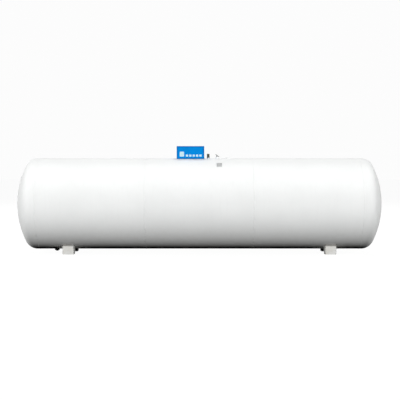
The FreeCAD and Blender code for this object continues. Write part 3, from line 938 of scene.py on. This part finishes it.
outline = [(-y, z) for y, z in wire_leg] + [wire_eye] + wire_leg[::-1]
for end, tip, way in (("left", pin_low.x, 1), ("right", pin_high.x, -1)):
    sideways = Matrix.Rotation(way * math.pi / 2, 4, "Y")
    seat = Vector((tip + way * washer_setback, pin_axis.y, pin_axis.z))
    ring = washer(washer_outer, washer_bore, washer_thick, seat, sideways)
    finished(ring, f"pin_washer_{end}", "hardware")
    middle = Vector((tip + way * wire_setback, pin_axis.y, pin_axis.z))
    path = [middle + wire_unit * Vector((0, y, z)) for y, z in outline]
    bead_along(path, wire_radius, f"split_pin_{end}", "hardware")

# %% [markdown]
# The two lugs are welded to the hood's rear wall, so their beads belong to the hood and swing with it.

# %% Weld the lugs
lug_bead = 0.0014

for end in ("left", "right"):
    lug_low, lug_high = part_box(f"hood_lug_{end}")
    foot = pin_axis.z - pin_radius
    corners = [(lug_low.x, foot), (lug_high.x, foot), (lug_high.x, lug_high.z), (lug_low.x, lug_high.z)]
    path = [Vector((x, hood_high.y, z)) for x, z in corners]
    bead_along(path, lug_bead, f"lug_weld_{end}", "hood_paint", body="hood", closed=True)

# %% [markdown]
# ## Hexagon heads
# One hexagon head serves the gauge's four screws and the handwheel's nut. A six-sided cylinder is the
# start. Its top edges are bevelled, as a turned chamfer would leave them, and its top face is inset and
# sunk a little.


# %% Make the gauge's screws and the handwheel's nut
def hexagon_head(across, tall, seat):
    """An upright hexagon head with a chamfered top, its lower face on a seat."""
    chamfer = across / 12
    rim = across / 9
    dish = tall / 8
    almost_top = seat.z + tall - tall / 100
    radius = across / math.sqrt(3)
    middle = (seat.x, seat.y, seat.z + tall / 2)
    bpy.ops.mesh.primitive_cylinder_add(vertices=6, radius=radius, depth=tall, location=middle)
    head = bpy.context.object
    set_place(head)
    bpy.ops.object.mode_set(mode="EDIT")
    pick(head, "EDGE", lambda middle, way: middle.z > almost_top)
    bpy.ops.mesh.bevel(offset=chamfer, segments=2, affect="EDGES")
    pick(head, "FACE", lambda middle, normal: normal.z > 0.99 and middle.z > almost_top)
    bpy.ops.mesh.inset(thickness=rim)
    extrude((0, 0, -dish))
    close_up(head)
    return head


gauge_low, gauge_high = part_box("gauge_head")
dial_low, dial_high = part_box("gauge_dial")
dial_middle = (dial_low + dial_high) / 2
screw_across = 0.009
screw_tall = 0.0045
screw_inset = 0.0075  # from the edge of the gauge's square plate
dome_tall = 0.008  # how far the gauge's dome stands over its square plate
screw_reach = (gauge_high.x - gauge_low.x) / 2 - screw_inset
screw_seat = gauge_high.z - dome_tall
screw = hexagon_head(screw_across, screw_tall, Vector((0, 0, 0)))
for number, (side_x, side_y) in enumerate(((-1, -1), (1, -1), (1, 1), (-1, 1)), start=1):
    seat = Vector((dial_middle.x + side_x * screw_reach, side_y * screw_reach, screw_seat))
    finished(copied(screw, Matrix.Translation(seat)), f"gauge_screw_{number}", "hardware", smooth=20)
bpy.data.objects.remove(screw)

wheel_low, wheel_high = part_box("service_handwheel")
wheel_top = (wheel_low + wheel_high) / 2
wheel_top.z = wheel_high.z
disc_radius = 0.0095
disc_bore = 0.002
disc_thick = 0.0012
finished(washer(disc_radius, disc_bore, disc_thick, wheel_top), "wheel_washer", "hardware")
nut_across = 0.011
nut_tall = 0.006
nut_lift = 0.001  # a little less than the washer's thickness, so that the two touch
nut = hexagon_head(nut_across, nut_tall, wheel_top + Vector((0, 0, nut_lift)))
finished(nut, "wheel_nut", "hardware", smooth=20)

# %% [markdown]
# ## Grips on the caps
# A cap that is turned by hand has ridges round it. The ring starts as a cylinder with twice as many sides
# as ridges. Every other side is then selected by its angle and pushed out, each along its own normal.


# %% Cut the grips
def grip(node, name, slot, ridges, depth, from_share, to_share):
    """A ridged ring round a cap, between two shares of the cap's height."""
    low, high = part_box(node)
    middle = (low + high) / 2
    start = low.z + from_share * (high.z - low.z)
    stop = low.z + to_share * (high.z - low.z)
    sides = 2 * ridges
    bpy.ops.mesh.primitive_cylinder_add(
        vertices=sides,
        radius=(high.x - low.x) / 2 + depth / 4,
        depth=stop - start,
        location=(middle.x, middle.y, (start + stop) / 2),
    )
    ring = bpy.context.object
    set_place(ring)

    def every_other(spot, normal):
        turn = math.atan2(spot.y - middle.y, spot.x - middle.x) % (2 * math.pi)
        return abs(normal.z) < 0.5 and int(turn / (2 * math.pi) * sides) % 2 == 0

    bpy.ops.object.mode_set(mode="EDIT")
    pick(ring, "FACE", every_other)
    bpy.ops.mesh.extrude_faces_move(TRANSFORM_OT_shrink_fatten={"value": depth})
    bpy.ops.mesh.inset(thickness=depth / 4)
    close_up(ring)
    finished(ring, name, slot, smooth=20)


grip("filler_cap", "filler_grip", "cap_plastic", ridges=30, depth=0.0009, from_share=0.15, to_share=0.75)
grip("vapour_cap", "vapour_grip", "valve_brass", ridges=24, depth=0.0006, from_share=0.2, to_share=0.65)

# %% [markdown]
# ## The outlet's thread
# The service valve's outlet takes the gas pipe. Its thread is a row of fine ridges: a cylinder's long
# edges are cut into rings, and every other ring is drawn out a little from the outlet's axis. Each open
# end is then drawn inwards, and the two are bridged, so that the thread is a closed sleeve.

# %% Cut the outlet's thread
outlet = next(mount for mount in frame["record"]["mounts"] if mount["name"] == "service_outlet")
outlet_height = outlet["pos_m"][2]
outlet_radius = 0.014
thread_turns = 8
thread_length = 0.015
thread_rise = 0.0009
thread_setback = 0.001  # from the outlet's end
thread_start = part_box("service_valve")[0].x + thread_setback
thread_stop = thread_start + thread_length
ring_step = thread_length / (2 * thread_turns)
near = 0.00001


def resize_round_outlet(factor):
    """In edit mode, draws what is selected towards the outlet's axis or away from it."""
    bpy.ops.transform.resize(value=(1, factor, factor), center_override=(0, 0, outlet_height))


bpy.ops.mesh.primitive_cylinder_add(
    vertices=40,
    radius=outlet_radius,
    depth=thread_length,
    end_fill_type="NOTHING",
    location=((thread_start + thread_stop) / 2, 0, outlet_height),
    rotation=(0, math.pi / 2, 0),
)
thread = bpy.context.object
set_place(thread)
bpy.ops.object.mode_set(mode="EDIT")
pick(thread, "EDGE", lambda middle, way: abs(way.x) > thread_length / 2)
bpy.ops.mesh.subdivide(number_cuts=2 * thread_turns - 1)
pick(thread, "VERT", lambda spot: round((spot.x - thread_start) / ring_step) % 2 == 1)
resize_round_outlet(1 + thread_rise / outlet_radius)
pick(thread, "EDGE", lambda middle, way: min(middle.x - thread_start, thread_stop - middle.x) < near)
extrude((0, 0, 0))
resize_round_outlet(1 - 2 * thread_rise / outlet_radius)
bpy.ops.mesh.bridge_edge_loops()
close_up(thread)
finished(thread, "outlet_thread", "valve_brass", smooth=20)

# %% [markdown]
# ## The level gauge's dial
# A magnet under the dial turns the pointer as the float rises. The card is a white disc with a scale of
# per cent full. The marks are thin plates, the figures are text that is made a mesh, and all of them lie
# on the card.

# %% Mix the dial's finishes
card_white = two_tone(
    "dial_card", (0.78, 0.78, 0.76), (0.7, 0.69, 0.64), cover=0.12, roughness=0.45, grain=(300, 0.00002)
)
dial_ink = two_tone(
    "dial_ink", (0.02, 0.02, 0.02), (0.05, 0.05, 0.05), cover=0.1, roughness=0.4, grain=(400, 0.00002)
)
dial_red = two_tone(
    "dial_red", (0.5, 0.03, 0.02), (0.42, 0.05, 0.04), cover=0.1, roughness=0.35, grain=(400, 0.00002)
)

# %% Lay the card
dial_recess = 0.0015
dial_rim = 0.0025
card_thick = 0.0003
card_radius = (dial_high.x - dial_low.x) / 2 - dial_rim
card_low = Vector((dial_middle.x, dial_middle.y, dial_high.z - dial_recess))
card_middle = card_low + Vector((0, 0, card_thick))

bpy.ops.mesh.primitive_circle_add(vertices=64, radius=card_radius, fill_type="NGON", location=card_low)
card = bpy.context.object
set_place(card)
edit_all()
extrude((0, 0, card_thick))
close_up(card)
finished(card, "dial_card", "dial_plastic", finish=card_white)

# %% Draw the scale
ink = 0.0001
scale_sweep = math.radians(270)
long_tick = 0.0034
short_tick = 0.002
tick_width = 0.0005
tick_inset = 0.001
figure_size = 0.0055
figure_reach = 0.62 * card_radius


def dial_turn(per_cent):
    """The turn from the top of the dial to a filling, clockwise as the tank fills."""
    return Matrix.Rotation(scale_sweep * (0.5 - per_cent / 100), 4, "Z")


ticks = []
for per_cent in range(5, 100, 5):
    tall = long_tick if per_cent % 10 == 0 else short_tick
    turn = dial_turn(per_cent)
    outwards = turn @ Vector((0, card_radius - tick_inset - tall / 2, 0))
    ticks.append(flat_mark(tick_width, tall, ink, tick_width / 5, card_middle + outwards, turn))
finished(joined(ticks), "dial_ticks", "dial_plastic", finish=dial_ink)

figures = []
for per_cent in range(10, 100, 20):
    bpy.ops.object.text_add(location=(0, 0, 0))
    figure = bpy.context.object
    figure.data.body = str(per_cent)
    figure.data.size = figure_size
    figure.data.align_x = "CENTER"
    figure.data.align_y = "CENTER"
    figure.data.extrude = ink / 2
    bpy.ops.object.convert(target="MESH")
    figure = bpy.context.object
    from_middle = dial_turn(per_cent) @ Vector((0, figure_reach, 0)) + Vector((0, 0, ink / 2))
    figure.data.transform(Matrix.Translation(card_middle + from_middle))
    close_up(figure)
    figures.append(figure)
finished(joined(figures), "dial_figures", "dial_plastic", finish=dial_ink)

# %% Set the pointer on its pivot
filling = 55
pointer_length = 0.0135
pointer_width = 0.0022
pointer_tip = 0.25
pointer_thick = 0.0004
pointer_lift = 0.0003
pointer_reach = 0.0035
pivot_radius = 0.002
pivot_bore = 0.0006
pivot_tall = 0.0008

bpy.ops.mesh.primitive_plane_add(size=1, location=(0, 0, 0))
pointer = bpy.context.object
pointer.scale = (pointer_width, pointer_length, 1)
set_place(pointer)
bpy.ops.object.mode_set(mode="EDIT")
pick(pointer, "VERT", lambda spot: spot.y > 0)
bpy.ops.transform.resize(value=(pointer_tip, 1, 1))
bpy.ops.mesh.select_all(action="SELECT")
extrude((0, 0, pointer_thick))
close_up(pointer)
above_card = Matrix.Translation(card_middle + Vector((0, 0, pointer_lift)))
pointer.data.transform(above_card @ dial_turn(filling) @ Matrix.Translation((0, pointer_reach, 0)))
finished(pointer, "dial_pointer", "dial_plastic", finish=dial_red)
pivot = washer(pivot_radius, pivot_bore, pivot_tall, card_middle + Vector((0, 0, ink)))
finished(pivot, "dial_pivot", "dial_plastic", finish=dial_ink)

# %% [markdown]
# ## The data plate
# The plate carries no words here. It has what every such plate has besides them: a border, ruled fields
# and four rivets. Its rules have to follow the shell's curve, so each one is a small rectangle spun about
# the vessel's axis.

# %% Rule the data plate
plate_low, plate_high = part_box("data_plate")
plate_stand_off = 0.0062  # the thickness of its bracket and its own
plate_radius = outer_radius + plate_stand_off
plate_top_angle = math.acos((plate_high.z - axis_height) / plate_radius)
plate_low_angle = math.asin(-plate_low.y / plate_radius)
rule = 0.0008
rule_rise = 0.00015
rule_angle = rule / plate_radius
plate_edge = 0.0035
edge_angle = plate_edge / plate_radius
steps_a_radian = 200
field_shares = [0.3, 0.44, 0.56, 0.68, 0.8, 0.9]
column_share = 0.4


def curved_rule(x0, x1, top_angle, low_angle):
    """A raised strip on the data plate, between two places along X and two angles forward of the top."""
    bpy.ops.mesh.primitive_plane_add(size=1, location=(0, 0, 0), rotation=(math.pi / 2, 0, 0))
    strip = bpy.context.object
    strip.scale = (x1 - x0, 2 * rule_rise, 1)
    set_place(strip)
    strip.data.transform(round_shell((x0 + x1) / 2, top_angle, plate_radius))
    edit_all()
    steps = max(1, round((low_angle - top_angle) * steps_a_radian))
    bpy.ops.mesh.spin(steps=steps, angle=top_angle - low_angle, center=(0, 0, axis_height), axis=(1, 0, 0))
    close_up(strip)
    return strip


x0 = plate_low.x + plate_edge
x1 = plate_high.x - plate_edge
top_angle = plate_top_angle + edge_angle
low_angle = plate_low_angle - edge_angle
rules = [
    curved_rule(x0, x0 + rule, top_angle, low_angle),
    curved_rule(x1 - rule, x1, top_angle, low_angle),
    curved_rule(x0, x1, top_angle, top_angle + rule_angle),
    curved_rule(x0, x1, low_angle - rule_angle, low_angle),
]
field_angles = [top_angle + (low_angle - top_angle) * share for share in field_shares]
rules += [curved_rule(x0, x1, angle, angle + rule_angle) for angle in field_angles]
column = x0 + column_share * (x1 - x0)
rules.append(curved_rule(column, column + rule, field_angles[0], low_angle))
etching = metal(
    "plate_etching",
    (0.16, 0.16, 0.16),
    (0.1, 0.1, 0.1),
    roughness=(0.5, 0.7),
    grain=(900, 0.00003),
    metallic=0.3,
)
finished(joined(rules), "plate_rules", "plate_steel", finish=etching)

# %% [markdown]
# A rivet's head is a low dome. A sphere is cut in half with bisect, its cut is filled, and it is
# flattened.

# %% Drive the plate's rivets
rivet_radius = 0.0028
rivet_flattening = 0.45
rivet_inset = 0.008
inset_angle = rivet_inset / plate_radius

bpy.ops.mesh.primitive_uv_sphere_add(segments=20, ring_count=12, radius=rivet_radius, location=(0, 0, 0))
rivet = bpy.context.object
edit_all()
bpy.ops.mesh.bisect(plane_co=(0, 0, 0), plane_no=(0, 0, 1), use_fill=True, clear_inner=True)
bpy.ops.mesh.select_all(action="SELECT")
bpy.ops.transform.resize(value=(1, 1, rivet_flattening), center_override=(0, 0, 0))
close_up(rivet)
rivets = []
for x in (plate_low.x + rivet_inset, plate_high.x - rivet_inset):
    for angle in (plate_top_angle + inset_angle, plate_low_angle - inset_angle):
        rivets.append(copied(rivet, round_shell(x, angle, plate_radius)))
bpy.data.objects.remove(rivet)
for number, head in enumerate(rivets, start=1):
    finished(head, f"plate_rivet_{number}", "hardware", smooth=60)
